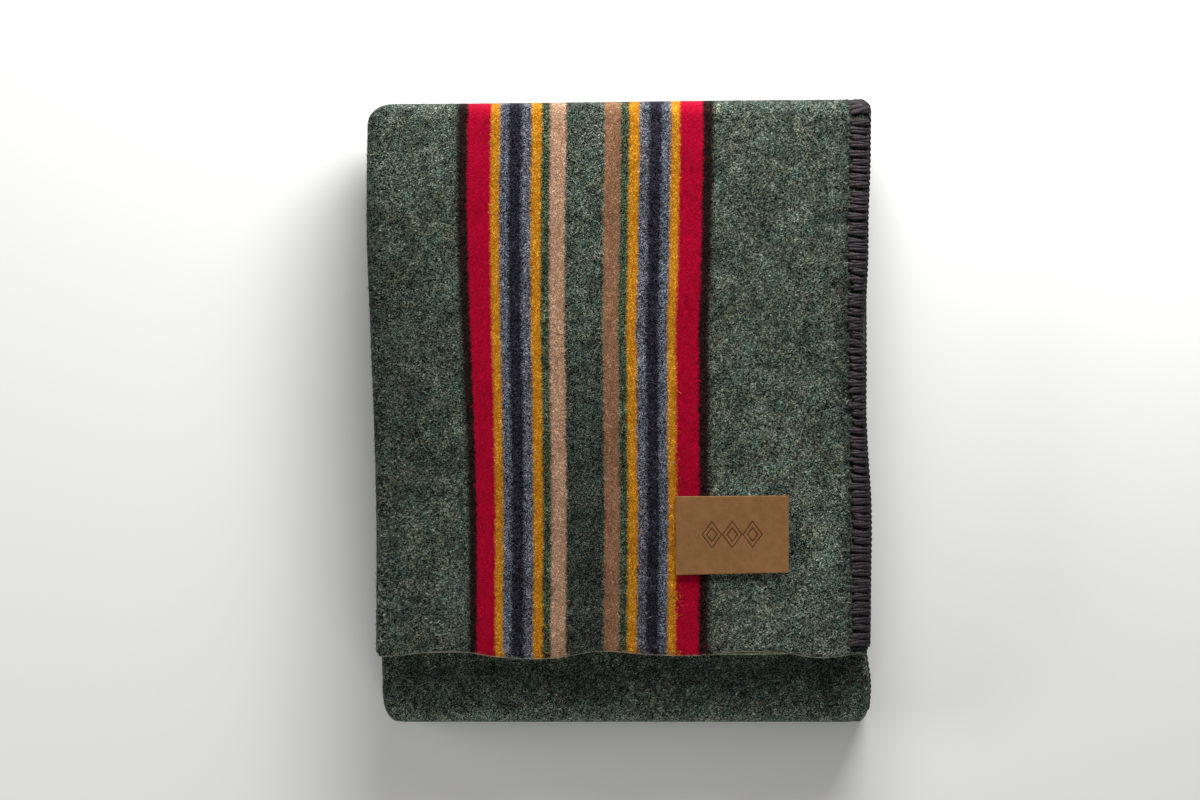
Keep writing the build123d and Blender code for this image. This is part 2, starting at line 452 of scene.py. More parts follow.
def cloth_piece(name, material):
    """One panel of cloth and the fold that follows it, as a closed sheet folded in four layers."""
    panel = PANELS[name]
    e = STRETCHES
    end = panel["run"] + panel["fold"]
    first, last = CUT_BACK + ROUND_EDGE, CLOTH_END - CUT_BACK - ROUND_EDGE
    u = joined(
        first, steps(first[-1], e[0], SEEN_STEP if name == "top" else UNSEEN_STEP),
        steps(e[0], e[1], WIDE_FOLD_STEP), steps(e[1], e[2], LOW_STEP),
        steps(e[2], e[3], TIGHT_FOLD_STEP), steps(e[3], e[4], INNER_STEP),
        steps(e[4], e[5], TIGHT_FOLD_STEP), steps(e[5], last[-1], INNER_STEP), last,
    )
    lap, start_round = (0.0, HALF) if name == "top" else (SEAM_LAP, SEAM_ROUND)
    end_round = SEAM_ROUND if panel["fold"] else HALF
    v = joined(
        ROUND_EDGE * start_round / HALF - lap, steps(ROUND_EDGE[-1], panel["run"], panel["step"]),
        steps(panel["run"], end, CROSS_FOLD_STEP) if panel["fold"] else [end],
        end - ROUND_EDGE[:5] * end_round / HALF,
    )
    U, V = np.meshgrid(u, v, indexing="ij")
    from_end = np.minimum(U, CLOTH_END - U) - CUT_BACK
    half = HALF - SQUEEZE * smooth((STITCH_BITE - from_end) / SQUEEZE_MARGIN)
    for distance, radius in (
        (from_end, HALF - SQUEEZE), (V + lap, start_round), (end - V, end_round),
    ):
        half = half * np.sqrt(1 - (1 - np.clip(distance / radius, 0, 1)) ** 2)
    outer = panel["place"](U, V, half)
    inner = panel["place"](U, V, -half)
    rows, columns = U.shape
    index = np.arange(rows * columns).reshape(rows, columns)
    inner_index = index.copy()
    inside = (slice(1, -1), slice(1, -1))
    inner_index[inside] = rows * columns + np.arange((rows - 2) * (columns - 2)).reshape(
        rows - 2, columns - 2
    )
    points = np.concatenate([outer.reshape(-1, 3), inner[inside].reshape(-1, 3)])
    faces = np.concatenate([grid_faces(index), grid_faces(inner_index, flip=True)])
    drift = through(DRIFT_ACROSS, outer[..., 0]) * through(DRIFT_ALONG, outer[..., 1])
    pattern = U + np.where((name == "top") & (U < e[0]), drift, 0.0)
    # round a fold, the pattern follows the way over the cloth of each layer, not their mean
    stretch = pi * fold_radius(name, section(U, 0.0)[1]) / FOLD_RUN
    across = panel["start"] + V + np.clip(V - panel["run"], 0, None) * (stretch - 1)
    if name == "middle":
        across = across + pi * fold_radius("top", section(U, 0.0)[1]) - FOLD_RUN
    flat_outer = np.stack([pattern, across, half], -1)
    flat_inner = np.stack([pattern, across, -half], -1)
    marks = np.concatenate([flat_outer.reshape(-1, 3), flat_inner[inside].reshape(-1, 3)])
    corners = points[faces]
    volume = np.einsum(
        "ij,ij->", corners[:, 0], np.cross(corners[:, 1], corners[:, 2])
    ) + np.einsum("ij,ij->", corners[:, 0], np.cross(corners[:, 2], corners[:, 3]))
    if volume < 0:  # the faces look inwards
        faces = faces[:, ::-1]
    piece = mesh_object(f"cloth_{name}", points, faces.tolist(), {"flat": marks}, material)
    fit_to_bodies(piece, panel, np.concatenate([V.ravel(), V[inside].ravel()]))
    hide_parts(*(f"cloth_{node}" for node in panel["nodes"]))
    return piece


# ---------------------------------------------------------------- whipstitching
STITCH_PITCH = 6.6
HIDDEN_BITE = STITCH_BITE - 1.6  # of the turns that the picture doesn't show
BITE_VARIES = (1.2, 0.8)  # from turn to turn, and from ply to ply
PLIES = 4
PLY_TWIST = 0.45  # how far the plies go round each other over one turn of yarn
PLY_SPREAD, SPREAD_VARIES = 1.65, 0.2  # of the plies from the middle of a stitch
PLY_LIFT = (0.62, 0.36)  # of a ply off the core: its middle, and how far it goes either way
PLY_SIDE, PLY_RISE = 1.25, 0.62  # half the width and height of a ply
SEEN_PLY, HIDDEN_PLY = (24, 6), (16, 5)  # points along each ply and round it
CORE = 0.9  # half of the cloth's pressed thickness, and a little room
PLUMP, PRESSED = 1.25, 0.8  # how round a turn is where it lies free, and between layers
DIVE = 1.4  # how far each end of a turn goes on into the cloth
RIM_PITCH = 9.6  # of the two-ply cord that locks the turns along the rim
RIM_TURNS, RIM_PLY = 0.75, 0.72  # radius of its twist and of its plies
RIM_LIFT = 0.35  # of its middle off the middle of the cloth
RIM_POINTS = 12  # along each twist
# Places in the texture: how far apart turns and plies are, how wide a ply is round, and how far the
# rim cord is from the turns.
TURN_MARK, PLY_MARK, ROUND_MARK, RIM_MARK = 7.3, 1.9, 0.9, 30.0


def turns_of_yarn(rng, low, high, points_along, ring, plump, bites):
    """Turns of loose plies over a cut edge, as place from the rim, place along it and lift."""
    count = round((high - low) / STITCH_PITCH)
    middle = low + (np.arange(count) + 0.5 + rng.normal(0, 0.09, count)) * (high - low) / count
    q = np.linspace(0, 1, points_along)
    angle = np.linspace(0, 2 * pi, ring, endpoint=False)
    S, P, Q, A = np.meshgrid(np.arange(count), np.arange(PLIES), q, angle, indexing="ij")
    bite = (through(bites, middle) + rng.normal(0, BITE_VARIES[0], count))[S]
    bite = bite + rng.normal(0, BITE_VARIES[1], (count, PLIES))[S, P]
    reach = bite + DIVE - CUT_BACK
    bend = pi * CORE
    path = Q * (2 * reach + bend) - reach
    turn = np.clip(path, 0, bend) / CORE
    inward = np.where(path < 0, -path, np.clip(path - bend, 0, None))
    dive = 1 - smooth((inward + CUT_BACK - bite + 0.4) / 1.6)
    twist = 2 * pi * (P / PLIES + PLY_TWIST * Q + rng.uniform(0, 1, count)[S])
    rise = np.where(path < bend / 2, plump, PRESSED)
    out = rise * (PLY_LIFT[0] + PLY_LIFT[1] * np.cos(twist)) * (0.35 + 0.65 * dive)
    spread = PLY_SPREAD + SPREAD_VARIES * rng.normal(0, 1, (count, PLIES))[S, P]
    side = spread * np.sin(twist) * (0.8 + 0.2 * dive)
    height = (CORE + out + PLY_RISE * rise * np.cos(A)) * (0.25 + 0.75 * dive)
    # each turn leans one way up to the rim and the other way after it
    slant = (np.abs(Q - 0.42) * 3.0 - 0.6) * (1 + rng.normal(0, 0.6, count)[S])
    along = middle[S] + side + PLY_SIDE * np.sin(A) + slant
    marks = [path - bend / 2, A * ROUND_MARK / pi, S * TURN_MARK + P * PLY_MARK]
    from_rim = CUT_BACK + inward - height * np.sin(turn)
    return from_rim, along, height * np.cos(turn), np.stack(marks, -1)


def rim_cord(low, high, ring):
    """The two-ply cord along the rim, as place from the rim, place along it and lift."""
    count = round((high - low) / RIM_PITCH * RIM_POINTS)
    q = np.linspace(low, high, count)
    angle = np.linspace(0, 2 * pi, ring, endpoint=False)
    P, Q, A = np.meshgrid(np.arange(2), q, angle, indexing="ij")
    twist = 2 * pi * (Q / RIM_PITCH + P / 2)
    from_rim = -RIM_TURNS - RIM_TURNS * np.cos(twist) - RIM_PLY * np.cos(A)
    lift = RIM_LIFT + RIM_TURNS * np.sin(twist) + RIM_PLY * np.sin(A)
    marks = [Q * 1.2, A * ROUND_MARK / pi, P * PLY_MARK - RIM_MARK]
    return from_rim, Q, lift, np.stack(marks, -1)


def tube_faces(points, first):
    """Side quads and end caps for tubes laid out as (tube, along, ring), numbered from first."""
    along, ring = points.shape[-3:-1]
    index = np.arange(along * ring).reshape(along, ring)
    quads = grid_faces(np.concatenate([index, index[:, :1]], 1))
    tubes = points.size // (3 * along * ring)
    starts = first + np.arange(tubes) * along * ring
    faces = (quads[None] + starts[:, None, None]).reshape(-1, 4).tolist()
    ends = (index[0, ::-1], index[-1])
    return faces + [(cap + start).tolist() for start in starts for cap in ends]


def stitches(end, name, material, along, ring):
    """The yarn over one stitched end of a panel and its fold: turns of plies, and the rim cord."""
    panel = PANELS[name]
    rng = np.random.default_rng({"first": 100, "second": 200}[end] + len(name))
    low = STITCH_INSET if name == "top" else 0.0
    high = panel["run"] + panel["fold"] - (STITCH_INSET if name == "under" else 0.0)
    in_view = (end, name) == ("first", "top")
    plump = PLUMP if in_view else PRESSED
    bites = [(low, HIDDEN_BITE), (high, HIDDEN_BITE)]
    if in_view:
        bites = [(place - Y_SELVEDGE, bite) for place, bite in TOP_BITES]
    points, faces, marks, places = [], [], [], []
    for from_rim, v, lift, strand in (
        turns_of_yarn(rng, low, high, along, ring, plump, bites), rim_cord(low, high, ring),
    ):
        v = np.clip(v, low - 1.5, high + (0.0 if panel["fold"] else 1.0))
        u = from_rim if end == "first" else CLOTH_END - from_rim
        shape = panel["place"](u.ravel(), v.ravel(), lift.ravel()).reshape(*v.shape, 3)
        faces += tube_faces(shape, sum(map(len, points)))
        points.append(shape.reshape(-1, 3))
        marks.append(strand.reshape(-1, 3))
        places.append(v.ravel())
    piece = mesh_object(
        f"whipstitch_{end}_{name}", np.concatenate(points), faces,
        {"strand": np.concatenate(marks)}, material,
    )
    fit_to_bodies(piece, panel, np.concatenate(places))
    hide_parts(*(f"whipstitch_{end}_{node}" for node in panel["nodes"]))
    return piece


# ---------------------------------------------------------------- loose fibres of the nap
NAP_RADIUS = 0.13
NAP_ALONG, NAP_RING = 5, 3  # points of each fibre, along it and round it
NAP_LENGTH = (4.0, 9.0)
NAP_CURL = 1.3  # how much a fibre turns in the plane of the cloth, in radians
NAP_ARCH = 0.28  # sets how high it arches
# Shares of the fibres that stand by the stitches, on the outer left fold and along the selvedge.
BY_STITCHES, ON_LEFT_FOLD, ON_SELVEDGE = 0.10, 0.12, 0.08
STITCH_MARGIN = (14.0, 26.0)  # where those by the stitches stand, from the stitched end


def nap_roots(rng, name, count):
    """Places of loose fibres on the outside of a panel: on its face, and more along its edges."""
    panel = PANELS[name]
    end = panel["run"] + panel["fold"]
    face = (STRETCHES[0] + 0.6 * pi * WIDE, end)
    u, v = (rng.uniform(0.5, length, count) for length in face)
    edge = rng.uniform(0, 1, count)
    past_stitches, past_fold = edge > BY_STITCHES, edge > BY_STITCHES + ON_LEFT_FOLD
    past_selvedge = edge > BY_STITCHES + ON_LEFT_FOLD + ON_SELVEDGE
    u = np.where(past_stitches, u, rng.uniform(*STITCH_MARGIN, count))
    round_fold = STRETCHES[0] + rng.uniform(0, pi * WIDE, count)
    u = np.where(past_stitches & ~past_fold, round_fold, u)
    v = np.where(past_fold & ~past_selvedge, rng.exponential(2.0, count), v)
    bare_corner = (v < 2 * STITCH_INSET) & (u < 2 * STITCH_BITE)
    return np.where(bare_corner, u + 4 * STITCH_BITE, u), v


def nap(name, material):
    """Loose fibres that arch over a panel's cloth, each a closed spindle in one shade of wool."""
    panel = PANELS[name]
    count = panel["fibres"]
    rng = np.random.default_rng(300 + len(name))
    u, v = nap_roots(rng, name, count)
    turn = rng.uniform(0, 2 * pi, count)
    length = rng.uniform(*NAP_LENGTH, count)
    curl = rng.normal(0, NAP_CURL, count)
    arch = rng.gamma(2.0, NAP_ARCH, count)
    q = np.linspace(0, 1, NAP_ALONG)
    angle = np.linspace(0, 2 * pi, NAP_RING, endpoint=False)
    N, Q, A = np.meshgrid(np.arange(count), q, angle, indexing="ij")
    heading = turn[N] + curl[N] * (Q - 0.5)
    radius = NAP_RADIUS * np.sqrt(np.clip(1.05 - (2 * Q - 1) ** 2, 0, 1))
    along = (Q - 0.5) * length[N]
    fibre_u = u[N] + along * np.cos(heading) - radius * np.cos(A) * np.sin(heading)
    fibre_v = v[N] + along * np.sin(heading) + radius * np.cos(A) * np.cos(heading)
    rounded = np.sqrt(1 - (1 - np.clip(fibre_v / HALF, 0, 1)) ** 2)
    hump = np.sin(pi * np.clip(Q * 1.25, 0, 1)) ** 2
    lift = HALF * rounded - 0.1 + arch[N] * hump + radius * np.sin(A)
    lift = lift - 0.5 * smooth((STITCH_BITE + 1 - fibre_u) / 5)  # pressed by the stitches
    fibre_u = np.clip(fibre_u, 3.0, STRETCHES[1])
    fibre_v = np.clip(fibre_v, 0.2, panel["run"] + panel["fold"] - 0.1)
    points = panel["place"](fibre_u.ravel(), fibre_v.ravel(), lift.ravel()).reshape(*Q.shape, 3)
    marks = np.stack([u[N], panel["start"] + v[N], np.zeros_like(Q)], -1)
    piece = mesh_object(
        f"nap_{name}", points.reshape(-1, 3), tube_faces(points, 0),
        {"flat": marks.reshape(-1, 3)}, material,
    )
    fit_to_bodies(piece, panel, fibre_v)
    return piece


# ---------------------------------------------------------------- leather patch
LABEL_SIZE = (94.5, 65.0)
LABEL_THICKNESS = 1.6
LABEL_BEVEL = 0.55
LABEL_EDGE = 0.12  # half the height of the upright part of its edge
LABEL_GAP = 0.15  # between it and the cloth where it lies closest
LABEL_STEP = 0.5  # between its mesh's points
PRESS_DEPTH = 0.38
DIAMOND_PITCH = 17.0
DIAMOND_HALF = (8.0, 11.0)  # half the width and height of the outer diamond
DIAMOND_LINES = ((1.0, 0.075), (0.52, 0.09))  # size and line width, as shares of the outer diamond


def motif(a, b):
    """Depth of the pressed pattern on the patch, 0 to 1: a row of three plain diamonds."""
    depth = np.zeros_like(a)
    for n in (-1, 0, 1):
        ring = np.abs(a - n * DIAMOND_PITCH) / DIAMOND_HALF[0] + np.abs(b) / DIAMOND_HALF[1]
        for size, width in DIAMOND_LINES:
            depth = np.maximum(depth, 1 - smooth((np.abs(ring - size) - width / 2) / 0.05))
    return depth


def label_piece(material):
    """A pressed leather patch on the cloth, lifted a little along its right side and its front."""
    size_a, size_b = LABEL_SIZE
    rim = np.array([0.0, 0.08, 0.25, LABEL_BEVEL])
    a, b = (
        joined(-end + rim, steps(-end + LABEL_BEVEL, end - LABEL_BEVEL, LABEL_STEP), end - rim)
        for end in (size_a / 2, size_b / 2)
    )
    A, B = np.meshgrid(a, b, indexing="ij")
    from_edge = np.minimum(size_a / 2 - np.abs(A), size_b / 2 - np.abs(B))
    rounded = np.sqrt(1 - (1 - np.clip(from_edge / LABEL_BEVEL, 0, 1)) ** 2)
    pressed = motif(A, B)
    centre = (label_low + label_high) / 2
    # not quite square: the right side leans by half a millimetre, and the front side by 1.4
    x = centre.x + A * cos(LABEL_TURN) - B * sin(LABEL_TURN) + 0.006 * B * (A > 0) * A / 40
    y = centre.y + A * sin(LABEL_TURN) + B * cos(LABEL_TURN) + 0.7 * (A / 47) * (B < 0) * B / -32
    ground = 2 * BUNDLE + HEIGHT + crown(x, y, np.full_like(x, HEIGHT)) + LABEL_GAP
    curl = 1.1 * np.clip(A / 47, 0, 1) ** 3 + 0.3 * (B / 32) ** 2 + 0.5 * np.clip(-B / 32, 0, 1) ** 3
    middle = ground + curl + LABEL_THICKNESS / 2
    bulge = (LABEL_THICKNESS / 2 - LABEL_EDGE) * rounded + LABEL_EDGE
    upper, lower = middle + bulge - PRESS_DEPTH * pressed, middle - bulge
    rows, columns = A.shape
    count = rows * columns
    top_index = np.arange(count).reshape(rows, columns)
    points = np.concatenate([
        np.stack([x, y, upper], -1).reshape(-1, 3), np.stack([x, y, lower], -1).reshape(-1, 3),
    ])
    faces = [grid_faces(top_index), grid_faces(top_index + count, flip=True)]
    loop = np.concatenate([
        top_index[:, 0], top_index[-1, 1:], top_index[-2::-1, -1], top_index[0, -2::-1],
    ])
    faces.append(np.stack([loop[:-1], loop[:-1] + count, loop[1:] + count, loop[1:]], 1))
    marks = np.stack([A, B, pressed], -1).reshape(-1, 3)
    piece = mesh_object(
        "label_patch_leather", points, np.concatenate(faces).tolist(),
        {"leather": np.concatenate([marks, marks])}, material,
    )
    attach(piece, "top_panel")
    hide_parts("label_patch")
    return piece


# ================================================================ materials
def linear(colour):
    """A 0 to 255 sRGB colour as Blender's linear RGBA."""
    parts = [c / 255 for c in colour]
    return (*(p / 12.92 if p <= 0.04045 else ((p + 0.055) / 1.055) ** 2.4 for p in parts), 1.0)


class Nodes:
    """Builds a material's nodes with short calls. A value is a number, a colour or a socket."""

    def __init__(self, name, mark):
        self.material = bpy.data.materials.new(name)
        self.material.use_nodes = True
        self.tree = self.material.node_tree
        self.shader = self.tree.nodes["Principled BSDF"]
        attribute = self.tree.nodes.new("ShaderNodeAttribute")
        attribute.attribute_name = mark
        self.place = attribute.outputs["Vector"]

    def plug(self, socket, value):
        if isinstance(value, bpy.types.NodeSocket):
            self.tree.links.new(value, socket)
        else:
            socket.default_value = value

    def math(self, operation, a, b=0.0, clamp=False):
        node = self.tree.nodes.new("ShaderNodeMath")
        node.operation = operation
        node.use_clamp = clamp
        self.plug(node.inputs[0], a)
        self.plug(node.inputs[1], b)
        return node.outputs[0]

    def drawn_out(self, factors, turn=0.0):
        """The place coordinate for a texture that is turned and made longer by the factors."""
        node = self.tree.nodes.new("ShaderNodeMapping")
        node.vector_type = "TEXTURE"
        node.inputs["Rotation"].default_value = (0, 0, turn)
        node.inputs["Scale"].default_value = factors
        self.tree.links.new(self.place, node.inputs["Vector"])
        return node.outputs[0]

    def axes(self):
        node = self.tree.nodes.new("ShaderNodeSeparateXYZ")
        self.tree.links.new(self.place, node.inputs[0])
        return node.outputs

    def noise(self, vector, scale, detail=3.0, roughness=0.6, distortion=0.0):
        node = self.tree.nodes.new("ShaderNodeTexNoise")
        self.tree.links.new(vector, node.inputs["Vector"])
        node.inputs["Scale"].default_value = scale
        node.inputs["Detail"].default_value = detail
        node.inputs["Roughness"].default_value = roughness
        node.inputs["Distortion"].default_value = distortion
        return node.outputs[0]

    def centred(self, value):
        """A 0 to 1 noise as one that goes both ways from 0."""
        return self.math("SUBTRACT", value, 0.5)

    def ramp(self, factor, stops):
        node = self.tree.nodes.new("ShaderNodeValToRGB")
        elements = node.color_ramp.elements
        for element, (position, colour) in zip(list(elements), (stops[0], stops[-1])):
            element.position = position
            element.color = colour
        for position, colour in stops[1:-1]:
            elements.new(position).color = colour
        self.tree.links.new(factor, node.inputs[0])
        return node.outputs[0]

    def window(self, value, low, high):
        """0 below low, 1 above high, smooth between."""
        node = self.tree.nodes.new("ShaderNodeMapRange")
        node.interpolation_type = "SMOOTHSTEP"
        node.inputs["From Min"].default_value = low
        node.inputs["From Max"].default_value = high
        self.tree.links.new(value, node.inputs["Value"])
        return node.outputs[0]

    def fade(self, value, low, high):
        """1 below low, 0 above high, smooth between."""
        return self.math("SUBTRACT", 1.0, self.window(value, low, high))

    def product(self, *factors):
        result = factors[0]
        for factor in factors[1:]:
            result = self.math("MULTIPLY", result, factor)
        return result

    def mix(self, factor, a, b, mode="MIX"):
        node = self.tree.nodes.new("ShaderNodeMix")
        node.data_type = "RGBA"
        node.blend_type = mode
        self.plug(node.inputs[0], factor)
        self.plug(node.inputs[6], a)
        self.plug(node.inputs[7], b)
        return node.outputs[2]

    def bump(self, height, distance, strength=1.0):
        node = self.tree.nodes.new("ShaderNodeBump")
        node.inputs["Strength"].default_value = strength
        node.inputs["Distance"].default_value = distance
        self.tree.links.new(height, node.inputs["Height"])
        self.tree.links.new(node.outputs[0], self.shader.inputs["Normal"])

    def finish(self, colour, **settings):
        self.plug(self.shader.inputs["Base Color"], colour)
        for name, value in settings.items():
            self.plug(self.shader.inputs[name.replace("_", " ")], value)
        return self.material


def stripe_stops(read):
    """Ramp stops that give each stripe what read makes of its row, with soft changes."""
    stops = []
    start = 0.0
    for row in STRIPES:
        soft = row[1] / 2
        stops.append((start / STRIPE_SPAN, read(row)))
        stops.append(((row[0] - soft) / STRIPE_SPAN, read(row)))
        start = row[0] + soft
    return stops


def grey(value):
    return (value, value, value, 1.0)


# The felted fibres, deepest first: the direction they lie in, how many there are to a millimetre,
# how little of the cloth they cover, their place between the darker and the lighter shade of their
# stripe, and the tint that they have where the wool is a heather mixture.
FIBRES = (
    (0.2, 1.20, 0.56, 0.20, (0.74, 0.96, 0.94)),
    (1.77, 1.32, 0.59, 0.40, (0.50, 0.98, 0.96)),
    (2.55, 1.47, 0.59, 0.60, (1.22, 0.98, 0.76)),
    (0.98, 1.56, 0.59, 0.98, (0.90, 1.04, 1.00)),
    (1.35, 1.70, 0.605, 1.00, (1.90, 1.88, 1.78)),
)
DEEP_WOOL = (15, 17, 14)
SELVEDGE_THREADS = (158, 156, 128)
YARN_SHADES = ((14, 12, 13), (76, 68, 72), (40, 26, 42))  # deepest, lightest and in patches
# Leather: two shades that mottle it, its grain, and where it is pressed.
LEATHER_SHADES = ((108, 76, 45), (121, 86, 54), (88, 59, 34), (52, 30, 16))
# Tints: of the tan stripe by a stitched end; painted shade on the wool by the stitches, and on the
# yarn near the rim and on the rim cord.
TAN_TINT, STITCH_PAINTED_SHADE = (0.58, 0.50, 0.43, 1.0), (0.5, 0.5, 0.5, 1.0)
NEAR_RIM_PAINTED_SHADE, RIM_CORD_PAINTED_SHADE = (0.56, 0.54, 0.56, 1.0), (0.75, 0.72, 0.75, 1.0)
DARKER, DARKER_BEYOND, LIGHTER = 0.5, 0.26, 0.42  # slow changes of the green wool's brightness


def wool_cloth():
    """Felted heather wool: short tangled fibres of several greens, with woven stripes."""
    n = Nodes("felted_wool", "flat")
    u, v, _ = n.axes()
    clump = n.centred(n.noise(n.place, 0.16, 3, 0.6))
    cloud = n.noise(n.place, 0.04, 3, 0.55)
    hue = n.centred(n.noise(n.drawn_out((1.0, 1.6, 1.0), 0.6), 0.07, 4, 0.65, 0.8))

    # the stripes, whose edges the fibres cross
    from_end = n.math("MINIMUM", u, n.math("SUBTRACT", CLOTH_END, u))
    inward = n.math("SUBTRACT", from_end, STRIPE_CENTRE)
    crossing = n.centred(n.noise(n.drawn_out((2.0, 1.0, 1.0), 0.3), 0.75, 3, 0.6, 1.0))
    sway = n.centred(n.noise(n.place, 0.11, 2))
    moved = n.math("ADD", n.math("MULTIPLY", crossing, 7.0), n.math("MULTIPLY", sway, 2.2))
    off_middle = n.math("ADD", n.math("ABSOLUTE", inward), moved)
    stripe = n.math("DIVIDE", off_middle, STRIPE_SPAN, clamp=True)
    dark = n.ramp(stripe, stripe_stops(lambda row: linear(row[2])))
    light = n.ramp(stripe, stripe_stops(lambda row: linear(row[3])))
    stray = n.ramp(stripe, stripe_stops(lambda row: grey(row[4])))

    # the fibres over each other, with teal and brown ones in patches
    colour, relief = dark, 0.0
    for turn, scale, bare, tone, tint in FIBRES:
        strand = n.noise(n.drawn_out((1.0, 2.6, 1.0), turn), scale, 2, 0.6, 1.2)
        warmth = 0.6 * (tint[0] - tint[2])
        strand = n.math("ADD", strand, n.math("MULTIPLY", clump, 0.07))
        strand = n.math("ADD", strand, n.math("MULTIPLY", hue, warmth))
        fibre = n.window(strand, bare + 0.005, bare + 0.06)
        shade = n.mix(tone, dark, light)
        shade = n.mix(stray, shade, n.mix(1.0, shade, (*tint, 1.0), "MULTIPLY"))
        colour = n.mix(fibre, colour, shade)
        relief = n.math("MAXIMUM", n.math("MULTIPLY", fibre, 0.6 + 0.4 * tone), relief)
    tan_start, tan_end = STRIPES[0][0], STRIPES[1][0]
    in_tan = n.math(
        "MULTIPLY", n.window(off_middle, tan_start - 1, tan_start + 1),
        n.fade(off_middle, tan_end - 1, tan_end + 1),
    )
    by_cut_end = n.math("MULTIPLY", in_tan, n.math("LESS_THAN", inward, 0.0))
    colour = n.mix(by_cut_end, colour, TAN_TINT, "MULTIPLY")
    hollow = n.window(n.noise(n.drawn_out((2.0, 1.0, 1.0), 0.1), 1.1, 2, 0.6, 1.0), 0.58, 0.70)
    hollow = n.product(hollow, stray, 0.75)
    colour = n.mix(hollow, colour, linear(DEEP_WOOL))

    # slow changes of the green wool's brightness: darker in the middle of the band towards the first
    # selvedge and beyond the band, lighter by the stitched ends
    off_band = n.math("ABSOLUTE", inward)
    darker = n.product(n.fade(off_band, 14, 34), n.fade(v, 110, 380), DARKER)
    beyond = n.product(n.window(inward, 95, 130), n.window(v, 60, 170), n.fade(v, 300, 420))
    beyond = n.math("MULTIPLY", beyond, DARKER_BEYOND)
    lighter = n.product(n.fade(from_end, 90, 160), n.fade(v, 30, 330), LIGHTER)
    change = n.math("SUBTRACT", lighter, n.math("ADD", darker, beyond))
    change = n.math("ADD", n.math("MULTIPLY", change, stray), 1.0)
    colour = n.mix(1.0, colour, change, "MULTIPLY")

    # painted shade: darker in the hollow where the stitches press the wool in, and in the gaps between
    # them
    pressed = n.fade(from_end, STITCH_BITE - 5, STITCH_BITE + 9)
    colour = n.mix(pressed, colour, n.mix(1.0, colour, STITCH_PAINTED_SHADE, "MULTIPLY"))

    # the pale selvedge threads, and slow changes of shade
    rim = n.math("MINIMUM", v, n.math("SUBTRACT", WIDTH, v))
    rim = n.math("ADD", rim, n.math("MULTIPLY", n.math("SUBTRACT", 0.5, relief), 1.4))
    patchy = n.math("ADD", 1.0, n.window(clump, -0.1, 0.1))
    selvedge = n.product(n.fade(rim, 0.5, 1.7), 0.35, patchy)
    colour = n.mix(selvedge, colour, linear(SELVEDGE_THREADS))
    shade = n.ramp(cloud, ((0.35, grey(0.55)), (0.65, grey(1.0))))
    shaded = n.mix(1.0, colour, shade, "MULTIPLY")
    colour = n.mix(n.math("ADD", n.math("MULTIPLY", stray, 0.7), 0.3), colour, shaded)

    n.bump(n.math("ADD", relief, n.math("MULTIPLY", clump, 0.8)), 0.0008, 0.8)
    return n.finish(
        colour, Roughness=0.95, Specular_IOR_Level=0.02, Sheen_Weight=0.04, Sheen_Roughness=0.4,
    )


def wool_yarn():
    """Thick charcoal yarn: streaks and fine fibres that run along each ply."""
    n = Nodes("charcoal_yarn", "strand")
    deep, light, plum = map(linear, YARN_SHADES)
    streak = n.noise(n.drawn_out((1.4, 0.3, 1.0)), 1.4, 4, 0.65, 0.8)
    past_rim, _, strand = n.axes()
    patch = n.noise(n.drawn_out((5.0, 2.0, 1.0)), 0.8, 2, 0.5)
    tone = n.window(streak, 0.34, 0.70)
    colour = n.mix(tone, deep, light)
    # painted shade: the yarn is darker over the rolled rim, which turns away from the light
    inland = n.window(n.math("ABSOLUTE", past_rim), 1.0, 9.0)
    colour = n.mix(inland, n.mix(1.0, colour, NEAR_RIM_PAINTED_SHADE, "MULTIPLY"), colour)
    # painted shade: the rim cord darker still, at the outer edge of the rim
    on_rim = n.math("LESS_THAN", strand, -RIM_MARK / 2)
    colour = n.mix(on_rim, colour, RIM_CORD_PAINTED_SHADE, "MULTIPLY")
    colour = n.mix(n.product(n.window(patch, 0.5, 0.75), 0.3), colour, plum)
    n.bump(streak, 0.0005, 0.7)
    return n.finish(
        colour, Roughness=0.85, Specular_IOR_Level=0.05, Sheen_Weight=0.02, Sheen_Roughness=0.5,
    )


def leather():
    """Smooth tan leather with a fine grain, darker where it is pressed."""
    n = Nodes("tan_leather", "leather")
    dark_tan, light_tan, grain_tan, pressed_tan = map(linear, LEATHER_SHADES)
    grain = n.tree.nodes.new("ShaderNodeTexVoronoi")
    grain.inputs["Scale"].default_value = 1.7
    n.tree.links.new(n.place, grain.inputs["Vector"])
    fine = n.noise(n.place, 1.2, 4, 0.6)
    mottle = n.noise(n.place, 0.11, 4, 0.6)
    _, _, pressed = n.axes()
    colour = n.mix(n.window(mottle, 0.3, 0.72), dark_tan, light_tan)
    colour = n.mix(n.product(n.window(fine, 0.48, 0.75), 0.5), colour, grain_tan)
    colour = n.mix(n.product(n.window(pressed, 0.1, 0.9), 0.78), colour, pressed_tan)
    height = n.math("ADD", n.math("MULTIPLY", grain.outputs[0], 0.6), fine)
    n.bump(height, 0.00025, 0.5)
    return n.finish(colour, Roughness=0.78, Specular_IOR_Level=0.08)


# ================================================================ camera, light and floor
VIEW_WIDTH = 1002.4  # of what the picture takes in, at the top of the stack
VIEW_CENTRE = (-15.4, 8.4)
LENS, SENSOR = 200.0, 36.0

camera = bpy.data.objects.new("camera", bpy.data.cameras.new("camera"))
bpy.context.scene.collection.objects.link(camera)
camera.data.lens = LENS
camera.data.sensor_width = SENSOR
camera.data.clip_end = 50
top = cad_box[1].z / MM
camera.location = Vector((*VIEW_CENTRE, top + VIEW_WIDTH * LENS / SENSOR)) * MM
bpy.context.scene.camera = camera


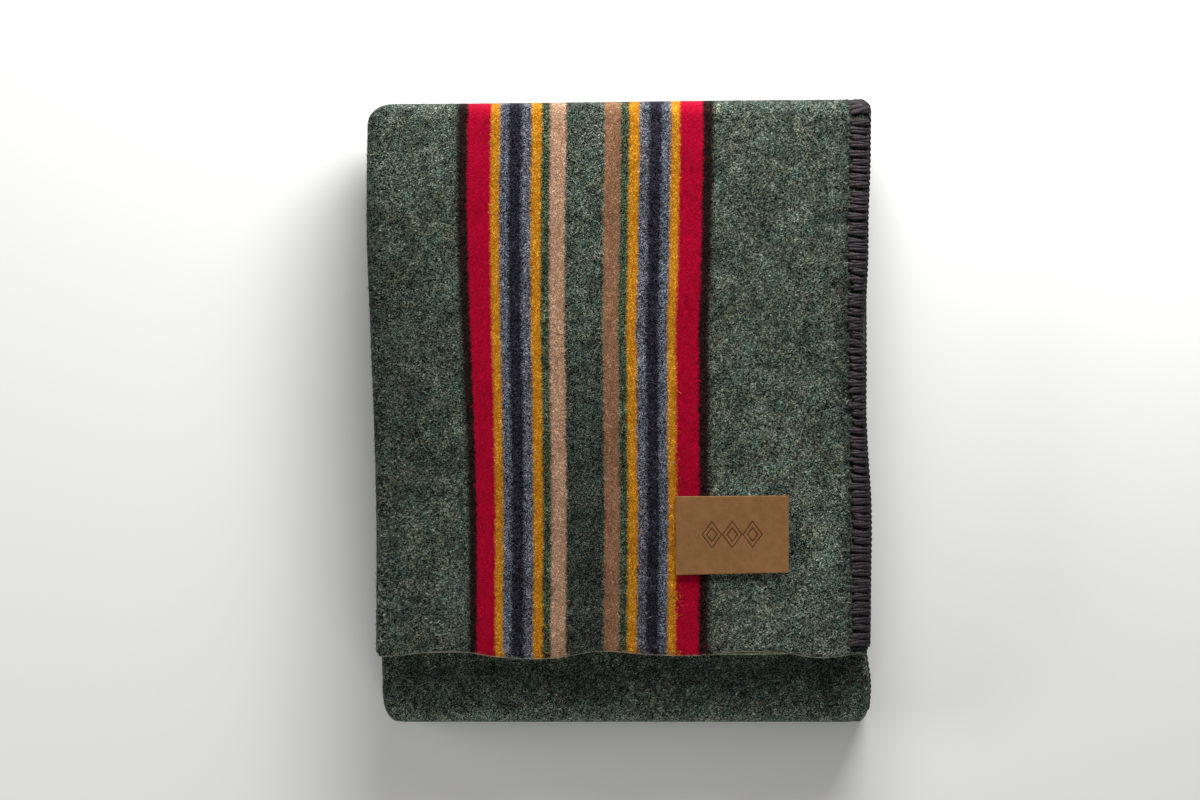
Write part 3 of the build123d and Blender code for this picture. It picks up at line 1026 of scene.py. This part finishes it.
def area_light(name, place, aim, size, power):
    """A soft rectangular lamp; places and sizes in metres."""
    lamp = bpy.data.objects.new(name, bpy.data.lights.new(name, "AREA"))
    bpy.context.scene.collection.objects.link(lamp)
    lamp.data.shape = "RECTANGLE"
    lamp.data.size, lamp.data.size_y = size
    lamp.data.energy = power
    lamp.location = place
    lamp.rotation_mode = "QUATERNION"
    lamp.rotation_quaternion = (Vector(aim) - Vector(place)).to_track_quat("-Z", "Y")


area_light("key", (0.32, 1.3, 0.5), (0, 0.1, 0.03), (1.2, 0.4), 64.0)
area_light("left_fill", (-2.3, -0.1, 0.6), (0, 0, 0.03), (1.5, 0.5), 42.0)
area_light("front_fill", (0.3, -2.4, 0.42), (0, 0, 0.03), (2.0, 0.5), 54.0)

WORLD_COLOUR, WORLD_STRENGTH = (1.0, 0.975, 0.94, 1.0), 0.15

world = bpy.data.worlds.new("studio")
world.use_nodes = True
background = world.node_tree.nodes["Background"]
background.inputs["Color"].default_value = WORLD_COLOUR
background.inputs["Strength"].default_value = WORLD_STRENGTH
bpy.context.scene.world = world
bpy.context.scene.view_settings.view_transform = "Standard"

FLOOR_COLOUR = (0.64, 0.64, 0.62, 1.0)
FLOOR_HALF = 4.0  # in metres
FLOOR_DROP = 0.5  # keeps the cloth's lowest faces clear of the floor's

floor_mesh = bpy.data.meshes.new("floor")
floor_corners = [(a * FLOOR_HALF, b * FLOOR_HALF, 0) for a, b in ((-1, -1), (1, -1), (1, 1), (-1, 1))]
floor_mesh.from_pydata(floor_corners, [], [(0, 1, 2, 3)])
floor_material = bpy.data.materials.new("pale_floor")
floor_material.use_nodes = True
floor_shader = floor_material.node_tree.nodes["Principled BSDF"]
floor_shader.inputs["Base Color"].default_value = FLOOR_COLOUR
floor_shader.inputs["Roughness"].default_value = 0.9
floor_mesh.materials.append(floor_material)
floor = bpy.data.objects.new("floor", floor_mesh)
bpy.context.scene.collection.objects.link(floor)
floor.location.z = -FLOOR_DROP * MM

# ================================================================ the object
cloth_material, yarn_material, leather_material = wool_cloth(), wool_yarn(), leather()
label = label_piece(leather_material)
for name, panel in PANELS.items():
    cloth = cloth_piece(name, cloth_material)
    yarns = [
        stitches("first", name, yarn_material, *(SEEN_PLY if name == "top" else HIDDEN_PLY)),
        stitches("second", name, yarn_material, *HIDDEN_PLY),
    ]
    loose = [nap(name, cloth_material)] if panel["fibres"] else []
